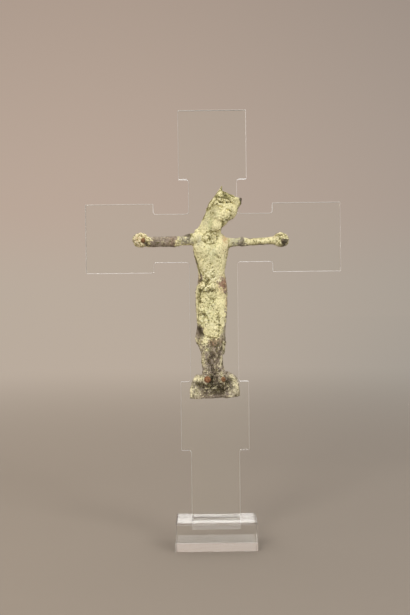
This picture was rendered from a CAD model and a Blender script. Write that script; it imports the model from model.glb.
import bmesh
import bpy
import math
import numpy as np
from mathutils import Matrix, Vector


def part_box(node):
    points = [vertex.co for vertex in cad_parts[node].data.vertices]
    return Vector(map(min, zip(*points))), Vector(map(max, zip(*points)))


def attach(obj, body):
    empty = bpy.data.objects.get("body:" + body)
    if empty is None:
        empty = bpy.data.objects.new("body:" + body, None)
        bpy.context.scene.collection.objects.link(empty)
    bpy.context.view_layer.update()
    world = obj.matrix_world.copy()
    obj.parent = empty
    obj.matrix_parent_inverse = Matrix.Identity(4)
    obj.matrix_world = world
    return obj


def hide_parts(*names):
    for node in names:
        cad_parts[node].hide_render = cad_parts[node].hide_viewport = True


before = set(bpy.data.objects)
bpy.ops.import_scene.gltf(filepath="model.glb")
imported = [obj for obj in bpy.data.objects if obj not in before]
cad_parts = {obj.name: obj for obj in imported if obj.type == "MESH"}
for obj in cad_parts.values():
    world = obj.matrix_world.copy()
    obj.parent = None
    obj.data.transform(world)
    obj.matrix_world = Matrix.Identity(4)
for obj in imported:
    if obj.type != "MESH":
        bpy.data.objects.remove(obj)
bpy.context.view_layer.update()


# Camera: three quarters of a metre in front of the clear cross, level with the loincloth, and
# turned a hair off square. Nothing in the sections that follow depends on it.
def place_camera():
    stands_at = Vector((-0.00497, -0.7447, 0.17897))
    focal_pixels, picture_height = 1025.93, 615
    pitch, yaw, roll = (math.radians(degrees) for degrees in (0.47, 0.11, -0.68))
    camera = bpy.data.objects.new("camera", bpy.data.cameras.new("camera"))
    bpy.context.collection.objects.link(camera)
    camera.data.sensor_width = 36.0
    camera.data.lens = focal_pixels / picture_height * camera.data.sensor_width
    camera.data.clip_start = 0.01
    camera.data.clip_end = 50.0
    across = Vector((math.cos(yaw), math.sin(yaw), 0))
    level = Vector((-math.sin(yaw), math.cos(yaw), 0))
    forward = level * math.cos(pitch) - Vector((0, 0, 1)) * math.sin(pitch)
    above = level * math.sin(pitch) + Vector((0, 0, 1)) * math.cos(pitch)
    right = across * math.cos(roll) + above * math.sin(roll)
    up = above * math.cos(roll) - across * math.sin(roll)
    turn = Matrix((right, up, -forward)).transposed()
    camera.matrix_world = Matrix.Translation(stands_at) @ turn.to_4x4()
    bpy.context.scene.camera = camera


place_camera()


# Clear acrylic block: cast clear stock, sawn, milled and flame-polished. A shallow groove is milled
# in its top, and the foot of the cross is cemented in it.
def new_piece(name, mesh):
    piece = bpy.data.objects.new(name, mesh)
    bpy.context.collection.objects.link(piece)
    return piece


def shaped_piece(name, form):
    mesh = bpy.data.meshes.new(name)
    form.to_mesh(mesh)
    form.free()
    return new_piece(name, mesh)


def new_material(name):
    material = bpy.data.materials.new(name)
    material.use_nodes = True
    return material, material.node_tree


def feed(tree, node, given):
    """Gives inputs of a node their values, or links where they come from another node."""
    for socket, value in given.items():
        if isinstance(value, bpy.types.NodeSocket):
            tree.links.new(value, node.inputs[socket])
        else:
            node.inputs[socket].default_value = value


def lay_node(tree, kind, given=None, **settings):
    node = tree.nodes.new(kind)
    for name, value in settings.items():
        setattr(node, name, value)
    feed(tree, node, given or {})
    return node


def clear_acrylic(name, tint, polish, haze, clear=1.0):
    """Acrylic as rough as its polish where it is clean, and as its haze in long upright smears."""
    acrylic, tree = new_material(name)
    place = lay_node(tree, "ShaderNodeTexCoord").outputs["Object"]
    wipe = lay_node(tree, "ShaderNodeMapping", {"Vector": place, "Scale": (60, 60, 14)})
    wiped = {"Vector": wipe.outputs["Vector"], "Scale": 1.0, "Detail": 4}
    smears = lay_node(tree, "ShaderNodeTexNoise", wiped)
    roughness = lay_node(tree, "ShaderNodeMapRange", {
        "Value": smears.outputs["Fac"], "From Min": 0.45, "From Max": 0.8,
        "To Min": polish, "To Max": haze,
    })
    feed(tree, tree.nodes["Principled BSDF"], {
        "Base Color": (*tint, 1), "Transmission Weight": clear, "IOR": 1.49,
        "Roughness": roughness.outputs["Result"],
    })
    return acrylic


def make_block():
    low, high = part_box("acrylic_block")
    sheet_low, sheet_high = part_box("acrylic_cross")
    shaft_half = 0.0351 / 2
    gap = 0.00005
    groove = (shaft_half + gap, sheet_high.y + gap, sheet_low.z - gap)
    edge = 0.0002
    form = bmesh.new()

    def ring(half_x, half_y, height):
        corners = [(-1, -1), (1, -1), (1, 1), (-1, 1)]
        return [form.verts.new((sx * half_x, sy * half_y, height)) for sx, sy in corners]

    under = ring(high.x, high.y, low.z)
    top = ring(high.x, high.y, high.z)
    mouth = ring(groove[0], groove[1], high.z)
    floor = ring(groove[0], groove[1], groove[2])
    form.faces.new(under[::-1])
    form.faces.new(floor)
    for i in range(4):
        j = (i + 1) % 4
        form.faces.new((under[i], under[j], top[j], top[i]))
        form.faces.new((top[i], top[j], mouth[j], mouth[i]))
        form.faces.new((mouth[i], mouth[j], floor[j], floor[i]))
    outside = [e for e in form.edges if all(v in under + top for v in e.verts)]
    bmesh.ops.bevel(form, geom=outside, offset=edge, segments=3, affect="EDGES", profile=0.5)
    bmesh.ops.recalc_face_normals(form, faces=form.faces)
    for face in form.faces:
        middle = face.calc_center_median()
        in_groove = abs(middle.x) <= groove[0] + gap and abs(middle.y) <= groove[1] + gap
        face.material_index = 1 if in_groove and low.z + edge < middle.z < high.z - edge else 0
    return shaped_piece("clear_block", form)


def clear_cement():
    """The set cement bends light just as the acrylic on both sides of it, so it can't be seen."""
    cement, tree = new_material("clear_cement")
    feed(tree, tree.nodes["Principled BSDF"], {
        "Base Color": (1, 1, 1, 1), "Transmission Weight": 0.92, "IOR": 1.0, "Roughness": 0.0,
    })
    return cement


clear_block = make_block()
clear_block.data.materials.append(clear_acrylic("clear_acrylic_block", (0.96, 0.96, 0.945), 0.0, 0.03))
cement = clear_cement()
clear_block.data.materials.append(cement)
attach(clear_block, "root")
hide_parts("acrylic_block")


# Clear acrylic cross: one outline cut from 5 mm clear sheet, with a square field at each end and one
# over its foot. Its edges are as sawn, or rubbed and scuffed, and the four nails pass through it.
def make_cross():
    low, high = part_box("acrylic_cross")
    shaft, field, field_height = 0.0351 / 2, 0.0493 / 2, 0.050
    crossing, foot_field = 0.2232, 0.0693
    span = high.x
    ease = 0.0004
    inner_turn, outer_turn, turn_steps = 0.002, 0.0008, 5
    bore, bore_steps = 0.00135, 24
    arm_root = span - 2 * field
    right = [
        (shaft, low.z), (shaft, foot_field), (field, foot_field), (field, foot_field + field_height),
        (shaft, foot_field + field_height), (shaft, crossing - shaft), (arm_root, crossing - shaft),
        (arm_root, crossing - field_height / 2), (span, crossing - field_height / 2),
        (span, crossing + field_height / 2), (arm_root, crossing + field_height / 2),
        (arm_root, crossing + shaft), (shaft, crossing + shaft), (shaft, high.z - field_height),
        (field, high.z - field_height), (field, high.z),
    ]
    outline = right + [(-x, z) for x, z in reversed(right)]
    points = []
    for i, here in enumerate(outline):
        before, after = outline[i - 1], outline[(i + 1) % len(outline)]
        arrive = Vector((here[0] - before[0], here[1] - before[1])).normalized()
        leave = Vector((after[0] - here[0], after[1] - here[1])).normalized()
        turns_left = arrive.x * leave.y - arrive.y * leave.x > 0
        radius = outer_turn if turns_left else inner_turn
        centre = Vector(here) - arrive * radius + leave * radius
        for step in range(turn_steps + 1):
            swing = math.pi / 2 * step / turn_steps
            spoke = -leave * math.cos(swing) + arrive * math.sin(swing)
            points.append(centre + spoke * radius)
    curve = bpy.data.curves.new("clear_cross", "CURVE")
    curve.dimensions = "2D"
    curve.fill_mode = "BOTH"
    curve.extrude = (high.y - low.y) / 2 - ease
    curve.bevel_depth = ease
    curve.bevel_resolution = 2
    curve.offset = -ease

    def closed_line(line_points):
        line = curve.splines.new("POLY")
        line.points.add(len(line_points) - 1)
        for point, (x, y) in zip(line.points, line_points):
            point.co = (x, y, 0, 1)
        line.use_cyclic_u = True

    closed_line(points)
    for nail in ("left_hand_nail", "right_hand_nail", "left_foot_nail", "right_foot_nail"):
        nail_low, nail_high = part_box(nail)
        x, z = (nail_low.x + nail_high.x) / 2, (nail_low.z + nail_high.z) / 2
        around = [2 * math.pi * i / bore_steps for i in range(bore_steps)]
        closed_line([(x + bore * math.cos(a), z + bore * math.sin(a)) for a in around])
    drawn = bpy.data.objects.new("cross_outline", curve)
    bpy.context.collection.objects.link(drawn)
    depsgraph = bpy.context.evaluated_depsgraph_get()
    mesh = bpy.data.meshes.new_from_object(drawn.evaluated_get(depsgraph))
    mesh.name = "clear_cross"
    bpy.data.objects.remove(drawn)
    mesh.transform(Matrix.Rotation(math.pi / 2, 4, "X"))
    tidy = bmesh.new()
    tidy.from_mesh(mesh)
    bmesh.ops.remove_doubles(tidy, verts=tidy.verts, dist=1e-6)
    bmesh.ops.recalc_face_normals(tidy, faces=tidy.faces)
    block_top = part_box("acrylic_block")[1].z
    everything = tidy.verts[:] + tidy.edges[:] + tidy.faces[:]
    bmesh.ops.bisect_plane(tidy, geom=everything, plane_co=(0, 0, block_top), plane_no=(0, 0, 1))
    sheet_face, in_cement, sawn, rubbed, scuffed, frosted, glowing = range(7)
    leaning, square_on = 0.3, 0.9
    foot_field_top = foot_field + field_height + ease
    for face in tidy.faces:
        middle, facing = face.calc_center_median(), face.normal
        right_and_above = facing.x > leaning and middle.z > crossing
        if middle.z < block_top:
            face.material_index = in_cement
        elif abs(facing.y) > square_on:
            face.material_index = sheet_face
        elif facing.z < -leaning and middle.z > crossing + field:
            face.material_index = glowing
        elif right_and_above and abs(middle.x - field) < ease:
            face.material_index = frosted
        elif right_and_above and middle.x < (arm_root + span) / 2:
            face.material_index = rubbed
        elif facing.z > leaning and middle.z < foot_field_top and middle.x > 0:
            face.material_index = rubbed
        elif facing.x < -leaning and middle.x > (field + arm_root) / 2:
            face.material_index = rubbed
        elif facing.z > leaning or abs(facing.x) > leaning:
            face.material_index = scuffed
        else:
            face.material_index = sawn
    tidy.to_mesh(mesh)
    tidy.free()
    return new_piece("clear_cross", mesh)


clear_cross = make_cross()
sheet_finishes = [clear_acrylic("clear_acrylic_sheet", (0.975, 0.98, 0.965), 0.0, 0.02), cement]
for finish, tint, polish, haze, clear in (
    ("sawn", (0.99, 0.98, 0.97), 0.25, 0.4, 1.0), ("rubbed", (0.97, 0.96, 0.95), 0.4, 0.6, 0.3),
    ("scuffed", (0.97, 0.96, 0.95), 0.3, 0.5, 0.6), ("frosted", (1, 0.99, 0.98), 0.5, 0.7, 0.0),
    ("glowing", (1, 1, 1), 0.55, 0.75, 1.0),
):
    sheet_finishes.append(clear_acrylic(finish + "_acrylic_edge", tint, polish, haze, clear))
for finish in sheet_finishes:
    clear_cross.data.materials.append(finish)
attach(clear_cross, "root")
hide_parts("acrylic_cross")


# Bronze corpus: cast in one with its crown and foot rest, then long buried. A pale yellow-green crust
# still covers the head, trunk and loincloth, and the arms, legs and foot rest are barer and pitted.
# Its forms are in modules, each a 150th of its height, from the foot rest's underside.
MODULE = 0.001
HEAD_TILT = math.radians(25)
HEAD_CENTRE = (7.6, -8.2, 132.5)
MIDDLE = 0.8
BELT = 79.5
BACK_FACE = -0.3
UNDER_ARMS = 100
CHIN = 119


def rise(value, run):
    """Goes from 0 to 1 as a value goes from 0 to the end of its run."""
    return np.clip(value / run, 0, 1)


def union(a, b, k):
    h = np.clip(0.5 + 0.5 * (b - a) / k, 0.0, 1.0)
    return b + (a - b) * h - k * h * (1.0 - h)


def ball_distance(x, y, z, centre, radii, tilt):
    c, s = math.cos(tilt), math.sin(tilt)
    dx, dz = x - centre[0], z - centre[2]
    u, w = (dx * c - dz * s) / radii[0], (dx * s + dz * c) / radii[2]
    v = (y - centre[1]) / radii[1]
    near = np.sqrt(u * u + v * v + w * w)
    steep = np.sqrt((u / radii[0]) ** 2 + (v / radii[1]) ** 2 + (w / radii[2]) ** 2)
    return near * (near - 1.0) / (steep + 1e-9)


def bar_distance(x, y, z, a, b, ra, rb):
    a, along = np.array(a, float), np.subtract(b, a).astype(float)
    dx, dy, dz = x - a[0], y - a[1], z - a[2]
    t = rise(dx * along[0] + dy * along[1] + dz * along[2], along @ along)
    gap = np.sqrt((dx - t * along[0]) ** 2 + (dy - t * along[1]) ** 2 + (dz - t * along[2]) ** 2)
    return gap - (ra + (rb - ra) * t)


def profile(rows, column, height):
    heights = np.array([row[0] for row in rows], float)
    values = np.array([row[column] for row in rows], float)
    slopes = np.gradient(values, heights)
    i = np.clip(np.searchsorted(heights, height) - 1, 0, len(heights) - 2)
    run = heights[i + 1] - heights[i]
    t = rise(height - heights[i], run)
    start = (2 * t**3 - 3 * t**2 + 1) * values[i] + (t**3 - 2 * t**2 + t) * run * slopes[i]
    return start + (3 * t**2 - 2 * t**3) * values[i + 1] + (t**3 - t**2) * run * slopes[i + 1]


def eight_corners(parts):
    """The corners of a cell, each with its share in a point that lies those parts of the way across."""
    for corner in np.ndindex(2, 2, 2):
        share = 1.0
        for far, part in zip(corner, parts):
            share = share * (part if far else 1 - part)
        yield corner, share


def mottle(x, y, z, size, seed):
    """Smooth random values from 0 to 1, with lumps of about the given size in modules."""
    side, well_above_zero = 64, 1000.0
    lattice = np.random.default_rng(seed).random(side**3).astype(np.float32)
    cells, blends = [], []
    for value in (x, y, z):
        scaled = np.asarray(value, np.float32) / size + well_above_zero
        whole = np.floor(scaled)
        part = scaled - whole
        cells.append(whole.astype(np.int32))
        blends.append(part * part * (3 - 2 * part))
    total = 0.0
    for corner, share in eight_corners(blends):
        i, j, k = (cell + far & side - 1 for cell, far in zip(cells, corner))
        total = total + lattice[(i * side + j) * side + k] * share
    return total


class Clay:
    """A block of distances to the figure's surface, pressed and carved form by form."""

    def __init__(self, low, high, cell):
        self.low, self.cell = np.array(low, float), cell
        counts = np.ceil((np.array(high) - self.low) / cell).astype(int) + 1
        self.axes = [self.low[i] + cell * np.arange(counts[i]) for i in range(3)]
        far_outside = 9.0
        self.field = np.full(counts, far_outside, dtype=np.float32)

    def press(self, shape, low, high, k, carve=False):
        span = []
        for i in range(3):
            count = len(self.axes[i])
            first = math.floor((low[i] - self.low[i]) / self.cell)
            last = math.ceil((high[i] - self.low[i]) / self.cell) + 1
            span.append(slice(min(max(first, 0), count), min(max(last, 0), count)))
        x = self.axes[0][span[0]][:, None, None]
        y = self.axes[1][span[1]][None, :, None]
        z = self.axes[2][span[2]][None, None, :]
        was = self.field[tuple(span)]
        if carve:
            self.field[tuple(span)] = -union(-was, shape(x, y, z), k)
        else:
            self.field[tuple(span)] = union(was, shape(x, y, z), k)

    def ball(self, centre, radii, k, tilt=0.0, carve=False):
        reach = max(radii) + 2 * k + 1
        low, high = [c - reach for c in centre], [c + reach for c in centre]
        self.press(lambda x, y, z: ball_distance(x, y, z, centre, radii, tilt), low, high, k, carve)

    def bar(self, a, b, ra, rb, k, carve=False):
        reach = max(ra, rb) + 2 * k + 1
        low = [min(p, q) - reach for p, q in zip(a, b)]
        high = [max(p, q) + reach for p, q in zip(a, b)]
        self.press(lambda x, y, z: bar_distance(x, y, z, a, b, ra, rb), low, high, k, carve)

    def hollow(self, centre, radii, k, tilt=0.0):
        self.ball(centre, radii, k, tilt, carve=True)

    def strand(self, points, radius, k, carve=False):
        for a, b in zip(points, points[1:]):
            self.bar(a, b, radius, radius, k, carve)

    def groove(self, points, radius, k):
        self.strand(points, radius, k, carve=True)

    def value_at(self, points):
        scaled = (points - self.low) / self.cell
        whole = np.clip(np.floor(scaled).astype(int), 0, np.array(self.field.shape) - 2)
        total = 0.0
        for (i, j, k), share in eight_corners((scaled - whole).T):
            total = total + share * self.field[whole[:, 0] + i, whole[:, 1] + j, whole[:, 2] + k]
        return total


def on_head(u, v, w):
    c, s = math.cos(HEAD_TILT), math.sin(HEAD_TILT)
    return (HEAD_CENTRE[0] + u * c + w * s, HEAD_CENTRE[1] + v, HEAD_CENTRE[2] - u * s + w * c)


TRUNK = [
    (36, -9.6, 7, -10.5), (44, -11.2, 7.6, -12.6), (52, -12, 8.4, -13.2), (60, -12.7, 9.2, -12.8),
    (70, -13, 9.7, -12.2), (77, -12.8, 9.8, -12.6), (83, -11.2, 9, -12.2), (89.3, -10.9, 8.1, -11),
    (96, -12.3, 9.2, -11.4), (103, -14.0, 10.6, -12.4), (108, -14.2, 11.4, -12),
    (113.5, -12.5, 10.4, -10.6), (118, -10.5, 6, -9),
]
CLOTH_BACK = [(30, -8.4, 6.6), (34, -10, 7.2), (41, -13.4, 8), (47, -12.8, 8), (55, -11.5, 8)]
FOOT_REST = [(0, -17.7, 17.6), (8, -17.2, 17.2), (12.5, -15.6, 16.4), (17, -12.8, 13.4)]


def hem_height(x):
    hem_x = (-12.5, -10.8, -9.1, -7.3, -3, 1.1, 3.4, 6.1, 7.2, 10)
    hem_z = (54.0, 52.1, 48.6, 45.7, 43.4, 42.8, 43.8, 47.7, 51.4, 55.0)
    return np.interp(x, hem_x, hem_z)


def squared_oval(x, y, z, slimmer=0.0, deeper=0.0):
    """The trunk and thighs in plan: between an oval and a square, with sides and front from the rows."""
    squareness, depth_in_front = 2.3, 0.62
    left, right, front = (profile(TRUNK, column, z) for column in (1, 2, 3))
    half_width, half_depth = (right - left) / 2 - slimmer, -front * depth_in_front
    u = np.abs((x - (left + right) / 2) / half_width)
    v = np.abs((y - front - half_depth - deeper) / half_depth)
    out = (u**squareness + v**squareness) ** (1 / squareness) - 1
    return out * np.minimum(half_width, half_depth)


def beyond_sides(rows, x, z):
    left, right = profile(rows, 1, z), profile(rows, 2, z)
    return np.maximum(left - x, x - right)


def trunk_shape(x, y, z):
    below_belt = rise(BELT - z, 5) * rise(-y - 5, 4)
    hang = z - 0.05 * (x - MIDDLE) ** 2
    folds = 0.13 * np.sin(2 * math.pi * hang / 8.5) + 0.06 * np.sin(2 * math.pi * hang / 3.4 + 1)
    trunk = squared_oval(x, y, z) + folds * below_belt
    return np.maximum(trunk, np.maximum(z - 118, hem_height(x) - z))


def thigh_shape(x, y, z):
    return np.maximum(squared_oval(x, y, z, 0.3, 1.3), np.maximum(z - 56, 41.5 - z))


def cloth_back_shape(x, y, z):
    across = beyond_sides(CLOTH_BACK, x, z)
    return np.maximum(across, np.maximum(-y - 4.2, np.maximum(z - 55, 31 - z)))


def foot_rest_shape(x, y, z):
    """A wedge that slopes to the viewer, worn away below and at the upper right."""
    across = beyond_sides(FOOT_REST, x, z)
    slope = np.maximum((-15.2 + 0.56 * z - y) * 0.87, -13.8 - y)
    worn_under = np.maximum(0.012 * (x - profile(FOOT_REST, 1, z)), 0.12 * (x - 5)) - z
    top = np.where(x > 5, np.minimum(18.9 - 0.57 * (x - 8.2), 18.2), 16.0)
    return np.maximum(np.maximum(across, slope), np.maximum(worn_under, z - top))


def crown_shape(x, y, z):
    """A worn circlet: its front rim is lower than the back one, so its hollow shows."""
    up = z - (138.4 - 0.08 * (x - 8.4))
    half_width = 10.9 - 0.3 * up
    u = (x - (8.6 + 0.42 * up)) / half_width
    v = (y - HEAD_CENTRE[1]) / (half_width * 0.74)
    band = np.abs(np.sqrt(u * u + v * v) - 0.89) * half_width * 0.85 - 1.0
    chips = 1.1 * (mottle(x, y, z, 2.4, 31) - 0.5)
    back_rim = 146.8 - 0.42 * (x - 10)
    front_rim = 143.6 - 0.16 * (x - 8)
    forward = rise(-v - 0.05, 0.5)
    rim = z - (back_rim + (front_rim - back_rim) * forward) + chips
    hairline = 139.2 - 0.024 * (x - 9) ** 2
    tucked = 0.9 * rise(hairline + 3 - z, 3)
    return np.maximum(band + tucked, np.maximum(hairline - z, rim))


def model_body(clay):
    clay.press(trunk_shape, (-17, -17, 40), (16, 6, 120), 0.7)
    clay.press(thigh_shape, (-17, -17, 38), (16, 6, 58), 0.7)
    clay.press(cloth_back_shape, (-16, -8, 28), (12, 6, 58), 0.8)
    clay.ball((-11.2, -6.5, 119), (2, 2.6, 2.2), 1.4)
    clay.ball((-7.6, -8.6, 107), (5.4, 3.6, 4.6), 2)
    clay.ball((4.4, -8.6, 107), (5.4, 3.6, 4.6), 2)
    clay.ball((-1.2, -7.6, 87), (7.2, 4.6, 6), 2)
    clay.groove([(-1.4, -13.2, 112), (-1.4, -12.9, 96)], 0.4, 1.2)
    for side in (-1, 1):
        for i in range(4):
            z = 101.5 - 3.1 * i
            low_end = (-1.4 + side * (7.6 - 0.5 * i), -10.2, z - 3.4)
            clay.groove([(-1.4 + side * 1.8, -12.6, z), low_end], 0.4, 0.9)
    clay.hollow((-1.2, -13, 86), (0.8, 0.9, 0.9), 0.5)
    clay.hollow((-2.5, -12.4, 113.6), (1.3, 1.5, 1.1), 0.4)
    knot = (-1, -12.4, BELT - 1)
    clay.bar((-10, -6.4, BELT), knot, 1.2, 1.5, 0.6)
    clay.bar(knot, (7.8, -6.4, BELT + 0.5), 1.5, 1.2, 0.6)
    clay.ball((-1, -13, BELT - 1.4), (2.6, 1.7, 1.9), 0.5)
    clay.groove([(-6.4, -12.8, 76.8), (-4.8, -13.6, 76.4)], 0.6, 0.6)
    clay.groove([(-9.8, -11, 78), (-10, -11.2, 73), (-9.9, -11, 68)], 0.8, 0.4)
    clay.groove([(3.8, -13.6, 57.5), (4.2, -13.9, 54), (3.8, -14, 50.5)], 0.45, 0.4)
    clay.hollow((-8.2, -12.6, 59), (1.4, 1.1, 1.2), 0.4)


def model_legs(clay):
    sides = [(-5.8, -5.6, -4.8, -5.6), (2.6, 2.5, 1.7, 6.4)]
    for hip, knee, ankle, toe in sides:
        clay.bar((hip, -6.2, 52), (knee, -6.8, 42), 4.4, 4.5, 0.8)
        clay.bar((knee, -6.8, 42), (ankle, -5.8, 23), 4.5, 3.9, 0.8)
        clay.ball((knee, -9.8, 40.5), (2.6, 1.9, 2.8), 0.9)
        clay.bar((knee, -9.6, 37), (ankle, -8.9, 24), 1.4, 1.1, 1.0)
        clay.bar((ankle, -6, 24), (toe, -11.4, 10.5), 3.9, 3.2, 1.0)
    clay.bar((-1.2, -5.4, 15), (-1.4, -6.2, 44), 3.4, 3.6, 1.4)
    clay.bar((-8, -8.6, 33), (-9.4, -5, 40.5), 0.9, 1.4, 0.9)
    clay.press(foot_rest_shape, (-20, -18, -2), (20, 4, 19), 1.0)
    for hip, knee, ankle, toe in sides:
        for i in range(5):
            spread = (i - 2) * 1.25
            root = (toe + spread * 0.9, -12.6, 10)
            tip = (toe + spread * 1.1, -13.2, 7.4 + 0.28 * abs(i - 2))
            clay.bar(root, tip, 0.95, 0.8, 0.35)
    clay.hollow((-2.7, -11.8, 10.6), (1.6, 2.2, 1.7), 0.6)
    clay.hollow((8.9, -11.4, 11.2), (1.5, 2.2, 1.7), 0.6)


def model_arms(clay):
    runs = [
        [(-10, -6, 113.9, 5), (-17, -5.6, 113.5, 4), (-24, -5, 112.6, 3.2), (-27.5, -5, 112.2, 3.8),
         (-33, -5, 112.2, 3.7), (-46, -4.5, 112, 3.5)],
        [(8.6, -5, 110.7, 4), (16.4, -5, 111.2, 2.6), (20.5, -5, 111.5, 3.2), (25, -5, 111.3, 2.5),
         (30, -5, 111.5, 2.4), (43, -4.5, 112.2, 2.7)],
    ]
    for joints in runs:
        for i, (a, b) in enumerate(zip(joints, joints[1:])):
            clay.bar(a[:3], b[:3], a[3], b[3], 0.7)
    for x, z, outward in ((-52.2, 113.7, -1), (48.9, 112.8, 1)):
        clay.ball((x - 0.2 * outward, -4.4, z - 0.2), (5.9, 3.2, 5.2), 1.2)
        clay.bar((x - 2 * outward, -5.4, z + 2.6), (x - 0.4 * outward, -5.2, z + 3.8), 1.7, 1.4, 0.6)
        for i in range(3):
            gap = z - 0.8 + (i - 1) * 2.6
            inner, outer = (x + 2.2 * outward, -7.6, gap), (x + 6.4 * outward, -4.6, gap)
            clay.groove([inner, outer], 0.45, 0.6)


def model_head(clay):
    tilt = HEAD_TILT
    clay.bar((-2.6, -6, 113), (1.2, -6.8, 125), 6.4, 5.8, 1.5)
    clay.ball(on_head(0.2, 0.6, 2.6), (8.8, 7.4, 8.6), 1.5, tilt)
    clay.ball(on_head(-0.3, -2.2, -3), (5.9, 6.4, 9.6), 1.0, tilt)
    clay.bar((1.3, -9.4, 137.5), (-7.6, -6.6, 120.5), 3.5, 3.1, 1.0)
    clay.bar((16.6, -9.4, 137), (12, -9.6, 131.4), 2.3, 1.8, 2)
    clay.bar((13.4, -11, 133), (8.8, -11.2, 126.6), 2.2, 2.1, 1.2)
    for i in range(4):
        lean = 1.5 * i
        root, turn = (-0.6 + lean, -12.4 - 0.3 * i, 136), (-4.2 + lean, -11.4, 128.5)
        clay.groove([root, turn, (-8.2 + 1.3 * lean, -9.4, 120)], 0.35, 0.7)
    for i in range(2):
        root, turn = (18.6 - 1.6 * i, -10.6, 136.5), (16.6 - 1.4 * i, -10.8, 132.5)
        clay.groove([root, turn, (13.6 - 1.2 * i, -10.4, 129)], 0.3, 0.6)
    clay.ball(on_head(-0.4, -4.2, -10.4), (3.9, 3.6, 4.8), 1.2, tilt)
    for side in (-1, 1):
        clay.hollow(on_head(2.9 * side, -8.9, 1.0), (2.3, 1.7, 1.6), 0.8, tilt)
        clay.ball(on_head(2.9 * side, -7.3, 0.9), (1.8, 1.2, 1.15), 0.3, tilt)
        lid = ((1.4, -8.3, 0.5), (2.9, -8.4, 0.1), (4.3, -7.5, 0.5))
        clay.groove([on_head(u * side, v, w) for u, v, w in lid], 0.16, 0.15)
        brow = ((1, -7.9, 3.2), (3, -7.6, 3.7), (4.8, -6.3, 2.9))
        clay.strand([on_head(u * side, v, w) for u, v, w in brow], 0.75, 0.6)
        clay.ball(on_head(3.4 * side, -6.6, -2.4), (1.9, 1.5, 2.2), 1.2, tilt)
        whisker = ((0.4, -8.5, -4.1), (2, -8.2, -4.8), (3.5, -7.2, -6.8))
        clay.strand([on_head(u * side, v, w) for u, v, w in whisker], 0.6, 0.5)
        for i in range(3):
            start = on_head((0.6 + 1.3 * i) * side - 0.3, -7.6 + 0.2 * i, -7.6)
            end = on_head((0.3 + 0.8 * i) * side - 0.4, -7.4 + 0.4 * i, -14)
            clay.groove([start, end], 0.28, 0.5)
    clay.bar(on_head(0, -7.5, 3.2), on_head(0, -8.6, -2.2), 0.8, 1.15, 0.6)
    for side in (-1, 1):
        clay.ball(on_head(0.9 * side, -8.4, -2.3), (0.75, 0.8, 0.7), 0.4, tilt)
    clay.ball(on_head(0, -8.1, -6.1), (1.7, 0.9, 0.55), 0.3, tilt)
    mouth = [on_head(-1.9, -8.7, -5.4), on_head(0, -9.1, -5.3), on_head(1.9, -8.7, -5.4)]
    clay.groove(mouth, 0.2, 0.2)


def model_crown(clay):
    clay.press(crown_shape, (-6, -20, 133), (24, 2, 153), 1.8)
    clay.bar((4.2, -10.8, 142.6), (6.6, -9.6, 151), 2.5, 0.45, 0.8)
    clay.bar((19, -10, 138.5), (20.1, -9.4, 141.8), 1.4, 0.8, 0.4)
    clay.hollow((8.9, -11.6, 146.4), (1.5, 2, 0.9), 0.4)


def soft_spots(x, z, places):
    """The strongest of some soft-edged spots, each with a middle, a reach each way and a strength."""
    most = np.zeros(np.broadcast(x, z).shape)
    for middle_x, middle_z, reach_x, reach_z, strength in places:
        spot = np.exp(-((x - middle_x) / reach_x) ** 2 - ((z - middle_z) / reach_z) ** 2)
        most = np.maximum(most, strength * spot)
    return most


def soft_lines(x, z, runs):
    """The strongest of some soft-edged lines, each with its points, its half width and a strength."""
    most = np.zeros(np.broadcast(x, z).shape)
    for points, half_width, strength in runs:
        for (ax, az), (bx, bz) in zip(points, points[1:]):
            run = (bx - ax) ** 2 + (bz - az) ** 2
            along = rise((x - ax) * (bx - ax) + (z - az) * (bz - az), run)
            away = (x - ax - along * (bx - ax)) ** 2 + (z - az - along * (bz - az)) ** 2
            most = np.maximum(most, strength * np.exp(-away / half_width**2))
    return most


def span(value, low, high, soft):
    return rise(value - low, soft) * rise(high - value, soft)


def bareness(x, z):
    """How much crust is lost: nearly all on the legs and the forearm, and in patches elsewhere."""
    bare = rise(hem_height(x) - 0.5 - z, 1.5) * 0.9 * (z < 60)
    bare = bare * (1 - soft_spots(x, z, [(-6.6, 40.6, 3.4, 3, 1), (-5.4, 34.6, 1.8, 1.8, 0.6)]))
    on_arms = z > UNDER_ARMS
    for strength, left, right, soft, where in (
        (0.95, -47, -24.6, 4, on_arms), (0.8, -23, -14, 2, rise(z - 114, 1.5)),
        (0.55, -26, -13.5, 1.5, z > 109.6), (0.8, 17.4, 23.6, 1.5, on_arms),
        (0.42, 11, 26, 1.5, on_arms * (z < 118)),
        (0.8, 25, 46, 2, rise(110.0 - z, 0.8) * on_arms),
    ):
        bare = np.maximum(bare, strength * span(x, left, right, soft) * where)
    bare = np.maximum(bare, soft_lines(x, z, [([(9, 80), (9, 52)], 0.9, 0.7)]))
    return np.maximum(bare, soft_spots(x, z, [
        (-10, 47, 2.4, 4.5, 1), (6.8, 81.9, 3.6, 5.2, 1), (-10, 85, 1.4, 4.4, 0.95),
        (-12.4, 96, 1.2, 5.5, 0.7), (50.4, 110, 3, 3, 1), (-46.9, 110.8, 2.6, 2.8, 0.9),
        (8, 47, 1.6, 3.5, 0.9), (20.4, 139.6, 1.2, 2.6, 1), (-56.5, 113, 1.6, 5, 0.5),
        (-49.6, 112.8, 1.6, 2.6, 0.6),
    ]))


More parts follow.
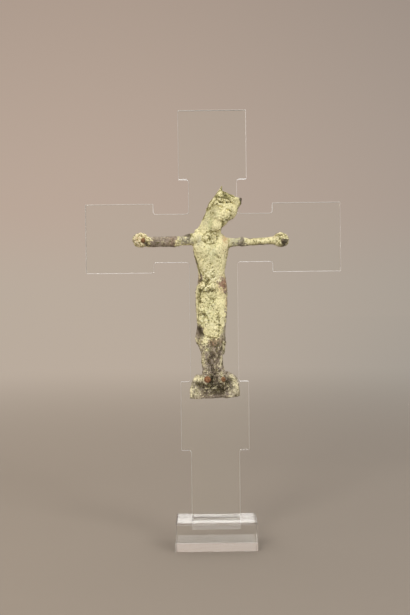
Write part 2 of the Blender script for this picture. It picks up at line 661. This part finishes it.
def roughness_of_cast(x, z):
    """How coarse the corrosion is, from 0 on the smooth face to 1 on the waist, legs and foot rest."""
    coarse = rise(46 - z, 4) * 0.95
    coarse = coarse * (1 - soft_spots(x, z, [(-7.2, 40.8, 2.6, 3, 0.9), (-11.6, 13.8, 3.4, 1.2, 0.7)]))
    coarse = np.maximum(coarse, 0.3 * span(x, -46, -25, 2) * (z > UNDER_ARMS))
    coarse = np.maximum(coarse, 0.3 * span(x, -26, -13, 2) * (z > UNDER_ARMS))
    return np.maximum(coarse, soft_spots(x, z, [
        (-3, 84, 8, 8, 0.9), (-4.5, 77, 7, 2.6, 1), (-3, 104, 8, 7, 0.35), (-2, 114, 6, 4, 0.6),
        (4, 141.5, 9, 2.4, 0.5), (-3, 68, 7, 8, 0.5), (-6, 57, 5, 6, 0.75), (4, 54, 3, 5, 0.6),
        (2, 48, 6, 5, 0.5), (50, 112, 7, 7, 0.7), (-52, 113, 8, 8, 0.7), (22, 111, 5, 5, 0.5),
        (34, 110, 9, 3, 0.35), (11, 127, 5, 4, 0.5), (0, 119, 6, 3, 0.4), (9, 100, 2, 8, 0.4),
    ]))


def corrode(clay):
    """Eats hollows into the cast surface and raises scabs on it, more where the crust is coarse."""
    reach = 1.8
    near = np.nonzero(np.abs(clay.field) < reach)
    x, y, z = (clay.axes[i][near[i]] for i in range(3))
    coarse = roughness_of_cast(x, z)
    stretch = 1 + 1.6 * rise(44 - z, 4) * rise(z - 17, 3)
    broad, middle = mottle(x, y, z / stretch, 3.2, 11), mottle(x, y, z / stretch, 1.45, 12)
    fine, pock = mottle(x, y, z, 0.85, 13), mottle(x, y, z / stretch, 1.9, 14)
    scab = mottle(x, y, z / stretch, 1.7, 15)
    depth = (0.15 + 0.5 * coarse) * (broad - 0.5) + (0.2 + 0.65 * coarse) * (middle - 0.5)
    depth += (0.2 + 0.5 * coarse) * (fine - 0.5)
    depth += (0.15 + 0.6 * coarse) * rise(pock - 0.62, 0.3)
    depth -= (0.12 + 0.5 * coarse) * rise(scab - 0.66, 0.3)
    behind = rise(BACK_FACE - 0.6 - y, 1.2)
    clay.field[near] += (depth * behind).astype(np.float32)


def close_diagonals(field, cell):
    """Fills corners so that the skin never touches itself along an edge."""
    inside, rounds, just_inside = field < 0, 8, -0.05 * cell
    for _ in range(rounds):
        changed = 0
        for a, b in ((0, 1), (0, 2), (1, 2)):
            quarters = []
            for da, db in ((0, 0), (1, 1), (1, 0), (0, 1)):
                part = [slice(None)] * 3
                part[a] = slice(da, inside.shape[a] - 1 + da)
                part[b] = slice(db, inside.shape[b] - 1 + db)
                quarters.append(inside[tuple(part)])
            p, q, r, s = quarters
            first, second = p & q & ~r & ~s, ~p & ~q & r & s
            r |= first
            p |= second
            changed += int(first.sum() + second.sum())
        if changed == 0:
            break
    field[inside & (field >= 0)] = just_inside


def skin(clay):
    """One corner to each cell that the surface crosses, and one face to each crossed grid line."""
    field = clay.field
    close_diagonals(field, clay.cell)
    cells = [count - 1 for count in field.shape]
    total = cells[0] * cells[1] * cells[2]
    strides = np.array((cells[1] * cells[2], cells[2], 1))
    sums, counts, faces = np.zeros((total, 3)), np.zeros(total, int), []
    for axis, (b, c) in enumerate(((1, 2), (2, 0), (0, 1))):
        near = tuple(slice(0, -1) if i == axis else slice(None) for i in range(3))
        far = tuple(slice(1, None) if i == axis else slice(None) for i in range(3))
        at = np.argwhere((field[near] < 0) != (field[far] < 0))
        first, second = field[near][tuple(at.T)], field[far][tuple(at.T)]
        place = at.astype(float)
        place[:, axis] += first / (first - second)
        around = []
        for db, dc in ((0, 0), (1, 0), (1, 1), (0, 1)):
            cell = at.copy()
            cell[:, b] -= 1 - db
            cell[:, c] -= 1 - dc
            index = cell @ strides
            around.append(index)
            for i in range(3):
                sums[:, i] += np.bincount(index, weights=place[:, i], minlength=total)
            counts += np.bincount(index, minlength=total)
        around = np.stack(around, 1)
        around[first >= 0] = around[first >= 0][:, ::-1]
        faces.append(around)
    used = np.nonzero(counts)[0]
    order = np.full(total, -1)
    order[used] = np.arange(len(used))
    corners = clay.low + sums[used] / counts[used][:, None] * clay.cell
    return corners, order[np.concatenate(faces)]


def make_figure():
    low, high, cell = (-60, -20, -1.5), (57, 2.5, 153), 0.46
    clay = Clay(low, high, cell)
    for model in (model_body, model_legs, model_arms, model_head, model_crown):
        model(clay)
    cast = Clay(low, high, cell)
    cast.field = clay.field.copy()
    corrode(clay)
    y = clay.axes[1][None, :, None]
    clay.field = np.maximum(clay.field, (y - BACK_FACE).astype(np.float32))
    corners, faces = skin(clay)
    sheet_front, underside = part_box("acrylic_cross")[0].y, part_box("corpus_figure")[0].z
    places = corners * MODULE + np.array((0, sheet_front, underside))
    mesh = bpy.data.meshes.new("bronze_corpus")
    mesh.vertices.add(len(places))
    mesh.vertices.foreach_set("co", places.ravel())
    mesh.loops.add(faces.size)
    mesh.loops.foreach_set("vertex_index", faces.ravel())
    mesh.polygons.add(len(faces))
    mesh.polygons.foreach_set("loop_start", np.arange(0, faces.size, 4))
    mesh.update(calc_edges=True)
    mesh.validate()
    mesh.shade_smooth()
    paint_stains(mesh, corners, cast)
    return new_piece("bronze_corpus", mesh)


def paint_stains(mesh, corners, cast):
    x, y, z = corners.T
    step = np.eye(3) * 0.5
    slope = np.stack([cast.value_at(corners + s) - cast.value_at(corners - s) for s in step], 1)
    facing_viewer = -slope[:, 1] / (np.linalg.norm(slope, axis=1) + 1e-6)
    from_behind = np.clip(-3 * facing_viewer, 0, 1)
    turned_away = rise(0.55 - facing_viewer, 0.5)
    turned_away *= np.where(z > CHIN, 0.3 + 0.7 * from_behind, 1.0)
    turned_away *= 1 - 0.8 * soft_spots(x, z, [(-19, 108, 6, 3, 1)])
    turned_away *= np.clip(0.35 + 1.1 * mottle(x, y, z, 4.5, 22), 0, 1) * (1 - 0.55 * from_behind)
    wander = 5 * (mottle(x, y, z, 2.6, 21) - 0.5)
    ring = np.abs(np.hypot((x + 2.4) / 5.2, (z - 114) / 4.2) - 1) * 4.6
    hair_edge = [
        (1.8, 146), (0.3, 143.8), (-1.2, 141), (-3.4, 138.1), (-4.3, 133.9), (-5.8, 131), (-7.3, 128.1),
    ]
    marks = [
        (hair_edge, 0.9, 1),
        ([(2.4, 142.2), (0.6, 138.6), (-0.9, 136.5), (-2.3, 134.8), (-3.8, 133.1)], 0.7, 0.7),
        ([(8.2, 147), (11.1, 146.7), (13.6, 145), (15.4, 143.3)], 0.9, 1),
        ([(1.4, 143.2), (4.5, 142.7), (11.6, 142)], 1.7, 1), ([(6.9, 150.2), (6.4, 148.2)], 0.9, 1),
        ([(5.4, 148), (2.4, 145.6)], 0.5, 0.7), ([(20.2, 142.4), (19.8, 137.5)], 0.9, 1),
        ([(7.2, 125.1), (6, 120.1)], 0.8, 0.8), ([(-4.7, 118.5), (-1.5, 119.1), (2.1, 118.2)], 0.6, 1),
        ([(-13.1, 101.6), (-11, 94.4), (-9, 87.3)], 0.6, 0.9), ([(-8.4, 76.8), (-1.2, 76.7)], 1.3, 0.8),
        ([(-9.8, 77.9), (-9.9, 68.3)], 0.9, 1.1), ([(-11.1, 78), (-11.3, 56)], 0.4, 0.7),
        ([(2.8, 60.3), (3.8, 50.4)], 0.8, 0.8),
        ([(-2.4, 54), (-1.4, 55.6), (0.4, 55), (0.2, 53.2)], 0.45, 0.8),
        ([(-10.6, 50), (-8.2, 44.2)], 1.7, 1.3), ([(-13.4, 10.2), (-4, 9.4)], 1.5, 1.1),
        ([(14, 108), (24, 108.6), (30, 109.2), (44, 109.4)], 0.5, 0.8),
        ([(10.9, 115), (11.3, 107)], 0.5, 0.6), ([(26, 113.5), (31, 113.9), (37, 113.6)], 0.35, 0.6),
        ([(31, 110.6), (37, 111.2), (43, 110.8)], 0.3, 0.5),
        ([(44, 116.2), (49, 115.6), (53, 113.4)], 0.45, 0.6), ([(45, 112.2), (48.4, 108.6)], 0.5, 0.7),
    ]
    grime = np.maximum(soft_lines(x, z, marks), 0.75 * np.exp(-ring**2 / 0.5))
    grime = np.maximum(grime, soft_spots(x, z, [
        (0.8, 8, 10.5, 3.6, 1.1), (10, 12, 3, 2.4, 0.9), (-0.5, 25, 6, 6, 0.3), (2, 5, 7, 3, 1.2),
        (6, 36, 3, 8, 0.4), (-2.4, 14, 2, 2, 1.2), (-3, 90.5, 5, 4, 0.35), (51, 111.5, 2.4, 2.4, 1.3),
        (-18, 112, 5, 1, 0.35), (-1.5, 133, 3, 5, 0.3), (-3.8, 11, 1.7, 1.7, 1.2), (8, 10.9, 2, 2, 1.2),
        (-2.6, 114.2, 1.2, 1.5, 1.1), (50.6, 109.8, 2.6, 2.8, 1.1), (48.3, 112.6, 2.6, 2.4, 0.5),
        (-47.6, 110.8, 2.2, 2.2, 1.1), (-49.4, 112.8, 1.4, 2.6, 0.8), (-9.3, 84.2, 1.1, 2, 1),
        (0, 70.5, 1.1, 1.1, 0.9), (-0.1, 67.8, 1.1, 0.9, 0.9), (-7.9, 60, 2, 1.6, 1.1),
        (-17.3, 116.4, 3.6, 1.6, 0.8), (20.5, 111.5, 2.4, 3, 0.35), (-3, 84, 6, 6, 0.25),
        (5.5, 140.4, 5, 2.2, 0.7), (9.2, 144.6, 1.5, 1.1, 1.1), (10.5, 141, 6, 2, 0.5),
        (8, 80, 1.4, 1.2, 0.6), (9, 88, 1.1, 3.5, 0.5),
    ]))
    coarse = roughness_of_cast(x, z)
    stains = {
        "scabby": (0.1 + 0.9 * coarse) * (y < -1.6) * (facing_viewer > 0.0),
        "bare": np.maximum(bareness(x + wander, z + 0.4 * wander), 0.7 * turned_away),
        "coarse": coarse,
        "eaten": 0.5 - cast.value_at(corners),
        "grime": np.maximum(grime, 0.35 * turned_away),
        "green": soft_spots(x, z, [
            (-5, 58, 5, 7, 0.9), (-2, 124, 3, 8, 0.7), (3, 87, 4, 3, 0.6), (-14, 8, 3, 6, 0.5),
            (14, 9, 3, 6, 0.5), (-1, 104, 7, 7, 0.6), (16, 111, 5, 3, 0.8), (-3, 68, 5, 8, 0.4),
            (-18, 112, 6, 3, 0.6), (2, 131, 3, 4, 0.5),
        ]),
        "greyed": soft_spots(x, z, [
            (-19, 112, 6, 4, 1), (16, 111.5, 7, 5, 1), (2, 87, 6, 7, 0.5), (-1, 101, 8, 7, 0.3),
            (34, 114.4, 8, 1.2, 0.5), (-2, 52, 5, 3, 0.4), (-53.5, 113, 4.5, 6, 0.9),
            (-1, 133, 4.5, 5, 0.8), (-5, 126, 3.5, 5, 0.6), (-10, 112.5, 3, 5, 1), (-3, 90, 6, 4, 0.7),
            (8, 127, 2, 2, 0.5), (46, 115, 6, 2.4, 0.7), (-52, 109, 4, 3, 0.4), (3, 138, 5, 2, 0.5),
        ]),
        "warm": soft_spots(x, z, [
            (7.2, 81.6, 4.4, 5.6, 1), (8.5, 112.8, 2.2, 4, 0.8), (-52, 113.4, 5, 5, 0.8),
            (-0.4, 39.7, 4, 2.6, 0.8), (-9.6, 85, 1.6, 4.4, 0.6), (10.2, 101, 1.4, 8, 0.5),
            (-29, 112, 3, 4, 0.3), (9, 68, 1, 5, 0.5), (45, 115.4, 7, 1.6, 0.5), (30, 113, 6, 0.8, 0.4),
            (2.5, 41, 3, 2, 0.8), (7.4, 108, 2, 8, 0.3),
        ]),
        "pale": np.maximum(soft_lines(x, z, [
            ([(-12.1, 79.4), (-12.2, 56.4)], 0.7, 1), ([(-13.4, 42.4), (-9.3, 35.6)], 0.8, 1),
            ([(6.6, 40), (6.6, 33.6)], 0.8, 0.9), ([(-14.4, 13.7), (-8.8, 13.8)], 1.5, 1.3),
            ([(5.4, 48), (6.4, 58)], 0.9, 0.7), ([(3.6, 145), (9.5, 144.8)], 0.9, 0.8),
            ([(13.4, 13.6), (16, 7)], 1.3, 0.8), ([(-16.8, 8), (-17.4, 1.5)], 1.4, 0.8),
            ([(-8, 33), (-8.2, 24)], 0.8, 0.8), ([(4.2, 29), (4.4, 23)], 0.5, 0.6),
            ([(4.8, 18), (5, 15.4)], 0.8, 0.9), ([(27, 112), (44, 111.6)], 1.2, 0.8),
            ([(-25, 108.9), (-14, 108.7)], 1.3, 1.6), ([(15, 12), (11, 15.6)], 0.9, 0.7),
        ]), soft_spots(x, z, [
            (-7.2, 40.8, 2.8, 3.4, 1.1), (10, 132.5, 4, 4, 0.5), (7, 100, 3.4, 8, 1),
            (36, 112.5, 9, 2.4, 0.6), (-1, 86, 4, 2, 0.5), (5, 48, 3, 4, 0.8), (4, 144.6, 2.2, 2.4, 0.7),
            (49, 114.5, 3, 2, 0.3), (4, 123, 2.4, 5, 0.8), (14.6, 5, 3, 4, 0.3), (6, 105, 4, 5, 0.4),
            (-5.4, 34.6, 2, 2, 0.6), (-52, 114, 5, 4, 0.2), (-13, 3.4, 3, 2.4, 0.5), (1, 41, 4, 2.6, 0.4),
            (-4, 35.4, 3, 2, 0.3),
        ])),
    }
    for name, values in stains.items():
        layer = mesh.attributes.new(name, "FLOAT", "POINT")
        layer.data.foreach_set("value", np.clip(values, 0, 1).astype(np.float32))


def between(tree, value, low, high, start=0.0, end=1.0):
    """Turns smoothly from start to end as a value goes from low to high."""
    return lay_node(tree, "ShaderNodeMapRange", {
        "Value": value, "From Min": low, "From Max": high, "To Min": start, "To Max": end,
    }, interpolation_type="SMOOTHSTEP").outputs["Result"]


def work(tree, operation, *values):
    given = dict(enumerate(values))
    return lay_node(tree, "ShaderNodeMath", given, operation=operation).outputs["Value"]


def mix(tree, amount, ground, layer):
    given = {0: amount}
    for socket, colour in ((6, ground), (7, layer)):
        given[socket] = (*colour, 1) if isinstance(colour, tuple) else colour
    return lay_node(tree, "ShaderNodeMix", given, data_type="RGBA").outputs[2]


def corroded_bronze():
    bronze, tree = new_material("corroded_bronze")
    place = lay_node(tree, "ShaderNodeTexCoord").outputs["Object"]

    def noise(scale, detail=3.0, rough=0.6, stretch=(1, 1, 1)):
        drawn_out = lay_node(tree, "ShaderNodeMapping", {"Vector": place, "Scale": stretch})
        return lay_node(tree, "ShaderNodeTexNoise", {
            "Vector": drawn_out.outputs["Vector"], "Scale": scale, "Detail": detail, "Roughness": rough,
        }).outputs["Fac"]

    def stain(name):
        return lay_node(tree, "ShaderNodeAttribute", attribute_name=name).outputs["Fac"]

    def ramp(value, low, high):
        return between(tree, value, low, high)

    def both(first, second):
        return work(tree, "MULTIPLY", first, second)

    def plus(first, times, second):
        return work(tree, "MULTIPLY_ADD", first, times, second)

    def centred(value):
        return work(tree, "SUBTRACT", value, 0.5)

    def layered(colour, layers):
        for amount, layer in layers:
            colour = mix(tree, amount, colour, layer)
        return colour

    broad, blotch, pits = noise(150), noise(420), noise(900, 1, 0.5)
    grain, speck = noise(1250, 3, 0.7), noise(2600, 2)
    streak = noise(1100, 3, 0.75, (1, 1, 0.4))
    eaten, coarse, grime, scab = stain("eaten"), stain("coarse"), stain("grime"), stain("scab")
    green, greyed, warm, pale = stain("green"), stain("greyed"), stain("warm"), stain("pale")

    shade = plus(centred(grain), work(tree, "ADD", coarse, 1.9), eaten)
    shade = plus(grime, 0.62, plus(coarse, 0.12, shade))
    pitted = plus(coarse, 0.8, 0.05)
    crust = layered((0.88, 0.815, 0.48), [
        (ramp(broad, 0.4, 0.6), (0.78, 0.725, 0.435)),
        (both(green, ramp(blotch, 0.35, 0.6)), (0.40, 0.47, 0.24)),
        (both(greyed, ramp(grain, 0.3, 0.5)), (0.50, 0.475, 0.335)),
        (both(warm, ramp(blotch, 0.3, 0.5)), (0.55, 0.29, 0.16)),
        (both(pale, ramp(grain, 0.3, 0.55)), (0.86, 0.80, 0.50)),
        (both(ramp(blotch, 0.42, 0.6), ramp(pits, 0.5, 0.6)), (0.56, 0.53, 0.29)),
        (ramp(shade, 0.6, 0.9), (0.40, 0.36, 0.17)),
        (both(pitted, ramp(pits, 0.57, 0.61)), (0.32, 0.29, 0.13)),
        (both(pitted, ramp(pits, 0.43, 0.39)), (0.95, 0.92, 0.69)),
        (ramp(shade, 0.9, 1.2), (0.15, 0.132, 0.056)),
        (ramp(shade, 0.35, 0.1), (0.90, 0.85, 0.58)),
    ])
    height = plus(work(tree, "SUBTRACT", 0.5, eaten), 0.7, 0.5)
    scale = plus(centred(streak), 2.2, height)
    relief = plus(coarse, 0.75, 0.25)
    metal = layered((0.24, 0.19, 0.142), [
        (ramp(blotch, 0.38, 0.6), (0.345, 0.29, 0.24)),
        (both(warm, 0.85), (0.36, 0.175, 0.10)),
        (both(green, 0.5), (0.30, 0.31, 0.22)),
        (both(greyed, 0.7), (0.36, 0.335, 0.28)),
        (both(relief, ramp(scale, 0.62, 0.8)), (0.66, 0.60, 0.41)),
        (both(relief, ramp(scale, 0.42, 0.22)), (0.08, 0.062, 0.042)),
        (both(grime, ramp(scale, 1.0, 0.6)), (0.06, 0.046, 0.026)),
        (both(pale, ramp(grain, 0.35, 0.5)), (0.78, 0.72, 0.47)),
    ])
    ragged = plus(centred(blotch), 1.0, plus(centred(grain), 1.2, stain("bare")))
    lost = ramp(ragged, 0.42, 0.58)
    colour = layered(crust, [
        (lost, metal), (both(ramp(scab, 0.1, 0.2), 0.35), (0.62, 0.58, 0.38)),
        (ramp(scab, 0.5, 0.55), (0.17, 0.152, 0.068)),
    ])
    gloss = lay_node(tree, "ShaderNodeMapRange", {"Value": lost, "To Min": 0.85, "To Max": 0.55})
    bump = lay_node(tree, "ShaderNodeBump", {
        "Distance": 0.0004, "Strength": 0.8, "Height": plus(speck, 0.5, grain),
    })
    feed(tree, tree.nodes["Principled BSDF"], {
        "Base Color": colour, "Specular IOR Level": 0.12, "Roughness": gloss.outputs["Result"],
        "Normal": bump.outputs["Normal"],
    })
    return bronze


def blister_tree():
    """Scatters small scabs over a cast where it is scabby, and joins them to it."""
    tree = bpy.data.node_groups.new("corrosion_blisters", "GeometryNodeTree")
    sockets = {}
    for name, kind in (
        ("Cast", "Geometry"), ("Per square metre", "Float"), ("Smallest", "Float"), ("Largest", "Float"),
        ("Seed", "Int"), ("Metal", "Material"),
    ):
        socket = tree.interface.new_socket(name, in_out="INPUT", socket_type="NodeSocket" + kind)
        sockets[name] = socket.identifier
    tree.interface.new_socket("Scabbed cast", in_out="OUTPUT", socket_type="NodeSocketGeometry")
    given = lay_node(tree, "NodeGroupInput").outputs

    def random_between(low, high):
        return lay_node(tree, "FunctionNodeRandomValue", {
            2: low, 3: high, "Seed": given["Seed"],
        }, data_type="FLOAT").outputs[1]

    scabby = lay_node(tree, "GeometryNodeInputNamedAttribute", {"Name": "scabby"}, data_type="FLOAT")
    points = lay_node(tree, "GeometryNodeDistributePointsOnFaces", {
        "Mesh": given["Cast"], "Seed": given["Seed"],
        "Density": work(tree, "MULTIPLY", scabby.outputs["Attribute"], given["Per square metre"]),
    }).outputs
    toned = lay_node(tree, "GeometryNodeStoreNamedAttribute", {
        "Geometry": points["Points"], "Name": "scab", "Value": random_between(0.2, 0.8),
    }, data_type="FLOAT", domain="POINT")
    blister = lay_node(tree, "GeometryNodeMeshIcoSphere", {"Radius": 1.0, "Subdivisions": 1})
    smooth = lay_node(tree, "GeometryNodeSetShadeSmooth", {"Geometry": blister.outputs["Mesh"]})
    width = random_between(given["Smallest"], given["Largest"])
    flattened = work(tree, "MULTIPLY", width, 0.6)
    size = lay_node(tree, "ShaderNodeCombineXYZ", {"X": width, "Y": width, "Z": flattened})
    placed = lay_node(tree, "GeometryNodeInstanceOnPoints", {
        "Points": toned.outputs["Geometry"], "Instance": smooth.outputs["Geometry"],
        "Rotation": points["Rotation"], "Scale": size.outputs["Vector"],
    })
    joined = lay_node(tree, "GeometryNodeJoinGeometry")
    for geometry in (placed.outputs["Instances"], given["Cast"]):
        tree.links.new(geometry, joined.inputs["Geometry"])
    real = lay_node(tree, "GeometryNodeRealizeInstances", {"Geometry": joined.outputs["Geometry"]})
    finish = lay_node(tree, "GeometryNodeSetMaterial", {
        "Geometry": real.outputs["Geometry"], "Material": given["Metal"],
    })
    lay_node(tree, "NodeGroupOutput", {"Scabbed cast": finish.outputs["Geometry"]})
    return tree, sockets


def raise_blisters(cast, bronze):
    cast.data.materials.append(bronze)
    tree, sockets = blister_tree()
    scatter = cast.modifiers.new("blisters", "NODES")
    scatter.node_group = tree
    for name, value in (
        ("Per square metre", 450000.0), ("Smallest", 0.00022), ("Largest", 0.00052), ("Seed", 4),
        ("Metal", bronze),
    ):
        scatter[sockets[name]] = value
    depsgraph = bpy.context.evaluated_depsgraph_get()
    mesh = bpy.data.meshes.new_from_object(cast.evaluated_get(depsgraph), depsgraph=depsgraph)
    cast.modifiers.remove(scatter)
    mesh.name = "bronze_corpus"
    mesh.materials.clear()
    mesh.materials.append(bronze)
    mesh.polygons.foreach_set("material_index", np.zeros(len(mesh.polygons), int))
    cast.data = mesh


bronze_corpus = make_figure()
raise_blisters(bronze_corpus, corroded_bronze())
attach(bronze_corpus, "root")
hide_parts("corpus_figure")


# Iron nails: four hand-forged nails with hammered heads, swollen and browned with rust. They pass
# through the hands and feet, and through holes bored in the clear sheet behind.
def rusted_iron(name, deep, rusty, fresh):
    iron, tree = new_material(name)
    place = lay_node(tree, "ShaderNodeTexCoord").outputs["Object"]
    scab = lay_node(tree, "ShaderNodeTexNoise", {
        "Vector": place, "Scale": 700, "Detail": 5, "Roughness": 0.7,
    }).outputs["Fac"]
    colours = lay_node(tree, "ShaderNodeValToRGB", {"Fac": scab})
    stops = colours.color_ramp.elements
    stops[0].position = 0.34
    stops[1].position = 0.7
    stops.new(0.5)
    for stop, colour in zip(stops, (deep, rusty, fresh)):
        stop.color = (*colour, 1)
    bump = lay_node(tree, "ShaderNodeBump", {"Distance": 0.0004, "Height": scab})
    feed(tree, tree.nodes["Principled BSDF"], {
        "Base Color": colours.outputs["Color"], "Roughness": 0.9, "Normal": bump.outputs["Normal"],
    })
    return iron


bright_rust = rusted_iron("rusted_iron", (0.04, 0.018, 0.01), (0.225, 0.095, 0.04), (0.47, 0.25, 0.125))
brown_rust = rusted_iron("browned_iron", (0.04, 0.022, 0.011), (0.23, 0.11, 0.046), (0.40, 0.23, 0.10))
olive_rust = rusted_iron("crusted_iron", (0.03, 0.024, 0.015), (0.15, 0.12, 0.075), (0.37, 0.30, 0.20))


def forge_nail(node, piece_name, rust, swell, flatten, seed):
    low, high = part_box(node)
    centre_x, centre_z = (low.x + high.x) / 2, (low.z + high.z) / 2
    head = swell * (high.x - low.x) / 2
    shank, thick = 0.001, 0.0014
    wander, nick, deepest_dent = 0.09, 0.06, 0.00018
    back, seat = high.y, low.y + thick
    chance = np.random.default_rng(seed)
    rings = [
        (back, 0.0003), (back - 0.0008, 0.0007), (back - 0.002, shank), (seat + 0.002, shank),
        (seat + 0.0002, shank * 1.05), (seat, head * 0.86), (seat - thick * 0.35, head),
        (seat - thick * 0.7, head * 0.82), (seat - thick * 0.92, head * 0.5), (seat - thick, head * 0.16),
    ]
    form = bmesh.new()
    steps = 20
    lumps = 1 + wander * np.cumsum(chance.normal(0, 0.5, steps))
    lumps = np.clip(lumps - np.linspace(0, lumps[-1] - lumps[0], steps), 0.82, 1.0)
    loops = []
    for depth, radius in rings:
        on_head = radius > shank * 1.1 or depth < seat
        loop = []
        for i in range(steps):
            angle = 2 * math.pi * i / steps
            reach = radius * (lumps[i] * (1 - nick * chance.random()) if on_head else 1.0)
            x = centre_x + reach * math.cos(angle) * (flatten if on_head else 1.0)
            z = centre_z + reach * math.sin(angle)
            dent = deepest_dent * chance.random() if on_head and depth < seat else 0.0
            loop.append(form.verts.new((x, depth + dent, z)))
        loops.append(loop)
    for near, far in zip(loops, loops[1:]):
        for i in range(steps):
            j = (i + 1) % steps
            form.faces.new((near[i], near[j], far[j], far[i]))
    form.faces.new(loops[0][::-1])
    form.faces.new(loops[-1])
    bmesh.ops.recalc_face_normals(form, faces=form.faces)
    nail = shaped_piece(piece_name, form)
    nail.data.shade_smooth()
    nail.data.materials.append(rust)
    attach(nail, "root")
    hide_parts(node)


forge_nail("left_hand_nail", "forged_left_hand_nail", brown_rust, 1.1, 1.0, 3)
forge_nail("right_hand_nail", "forged_right_hand_nail", olive_rust, 1.0, 0.95, 5)
forge_nail("left_foot_nail", "forged_left_foot_nail", bright_rust, 1.25, 1.0, 7)
forge_nail("right_foot_nail", "forged_right_foot_nail", brown_rust, 1.05, 0.85, 9)


# Pale floor and soft light: a wide matt floor that meets an even, warm surround without an edge.
# A soft key stands at the front left, and a broad fill at the front right.
LOW_LEFT, LOW_RIGHT = (0.468, 0.392, 0.323), (0.332, 0.304, 0.267)


def pale_paper():
    """Matt paper near the block, which passes into the colours of the surround further away."""
    paper, tree = new_material("pale_paper")
    near_left, near_right = (0.265, 0.224, 0.184), (0.228, 0.199, 0.17)
    place = lay_node(tree, "ShaderNodeTexCoord").outputs["Object"]
    sideways = lay_node(tree, "ShaderNodeSeparateXYZ", {"Vector": place}).outputs["X"]
    away = lay_node(tree, "ShaderNodeVectorMath", {0: place}, operation="LENGTH").outputs["Value"]
    near_paper = tree.nodes["Principled BSDF"]
    feed(tree, near_paper, {
        "Base Color": mix(tree, between(tree, sideways, -0.25, 0.25), near_left, near_right),
        "Roughness": 0.9, "Specular IOR Level": 0.2,
    })
    across = between(tree, work(tree, "DIVIDE", sideways, away), -0.15, 0.45)
    haze = lay_node(tree, "ShaderNodeEmission", {
        "Color": mix(tree, across, LOW_LEFT, LOW_RIGHT), "Strength": 1.05,
    })
    blend = lay_node(tree, "ShaderNodeMixShader", {
        0: between(tree, away, 0.25, 2), 1: near_paper.outputs["BSDF"], 2: haze.outputs["Emission"],
    })
    feed(tree, tree.nodes["Material Output"], {"Surface": blend.outputs["Shader"]})
    return paper


def lay_floor():
    just_below_block = -0.00015
    form = bmesh.new()
    bmesh.ops.create_circle(form, cap_ends=True, segments=96, radius=9.0)
    bmesh.ops.translate(form, verts=form.verts, vec=(0, 0, just_below_block))
    floor = shaped_piece("floor", form)
    floor.data.materials.append(pale_paper())


def surround():
    """Warm and dim ahead, daylight behind the viewer, bright overhead, and a window that only glints.

    It shows only in light that has met three surfaces, as within the acrylic, and never directly.
    """
    far_left, far_right, daylight = (0.472, 0.371, 0.304), (0.335, 0.287, 0.251), (0.50, 0.50, 0.45)
    ceiling, window = (1.25, 1.2, 1.15), (4.0, 3.95, 3.8)
    world = bpy.data.worlds.new("surround")
    bpy.context.scene.world = world
    world.use_nodes = True
    tree = world.node_tree
    place = lay_node(tree, "ShaderNodeTexCoord").outputs["Generated"]
    way = lay_node(tree, "ShaderNodeSeparateXYZ", {"Vector": place}).outputs
    across = between(tree, way["X"], -0.15, 0.45)
    low_wall = mix(tree, across, LOW_LEFT, LOW_RIGHT)
    wall = mix(tree, across, far_left, far_right)
    wall = mix(tree, between(tree, way["Y"], -0.2, -0.6), wall, daylight)
    wall = mix(tree, between(tree, way["Z"], 0.1, 0.0), wall, low_wall)
    dimmer = between(tree, way["Z"], 0.05, 0.45, 1.05, 0.8)
    wall = lay_node(tree, "ShaderNodeVectorMath", {0: wall, "Scale": dimmer}, operation="SCALE")
    sky = mix(tree, between(tree, way["Z"], 0.3, 0.62), wall.outputs["Vector"], ceiling)
    straight_behind = between(tree, way["Y"], -0.82, -0.9)
    pane = work(tree, "MULTIPLY", straight_behind, between(tree, way["Z"], 0.185, 0.215))
    bounces = lay_node(tree, "ShaderNodeLightPath").outputs["Ray Depth"]
    pane = work(tree, "MULTIPLY", pane, between(tree, bounces, 2.4, 2.6))
    feed(tree, tree.nodes["Background"], {"Color": mix(tree, pane, sky, window)})


def soft_light(name, azimuth, elevation, size, power, colour):
    light = bpy.data.lights.new(name, "AREA")
    light.shape = "RECTANGLE"
    light.size = size
    light.size_y = size
    light.energy = power
    light.color = colour
    lamp = bpy.data.objects.new(name, light)
    bpy.context.collection.objects.link(lamp)
    distance, aim = 2.4, Vector((0, 0, 0.2))
    a, e = math.radians(azimuth), math.radians(elevation)
    toward = Vector((-math.sin(a) * math.cos(e), -math.cos(a) * math.cos(e), math.sin(e)))
    lamp.location = aim + toward * distance
    lamp.rotation_euler = (-toward).to_track_quat("-Z", "Y").to_euler()


lay_floor()
surround()
soft_light("key", 22, 24, 0.6, 20, (1.0, 0.97, 0.9))
soft_light("fill", -38, 27, 0.7, 16, (1.0, 1.0, 0.97))
bpy.context.scene.view_settings.view_transform = "Standard"
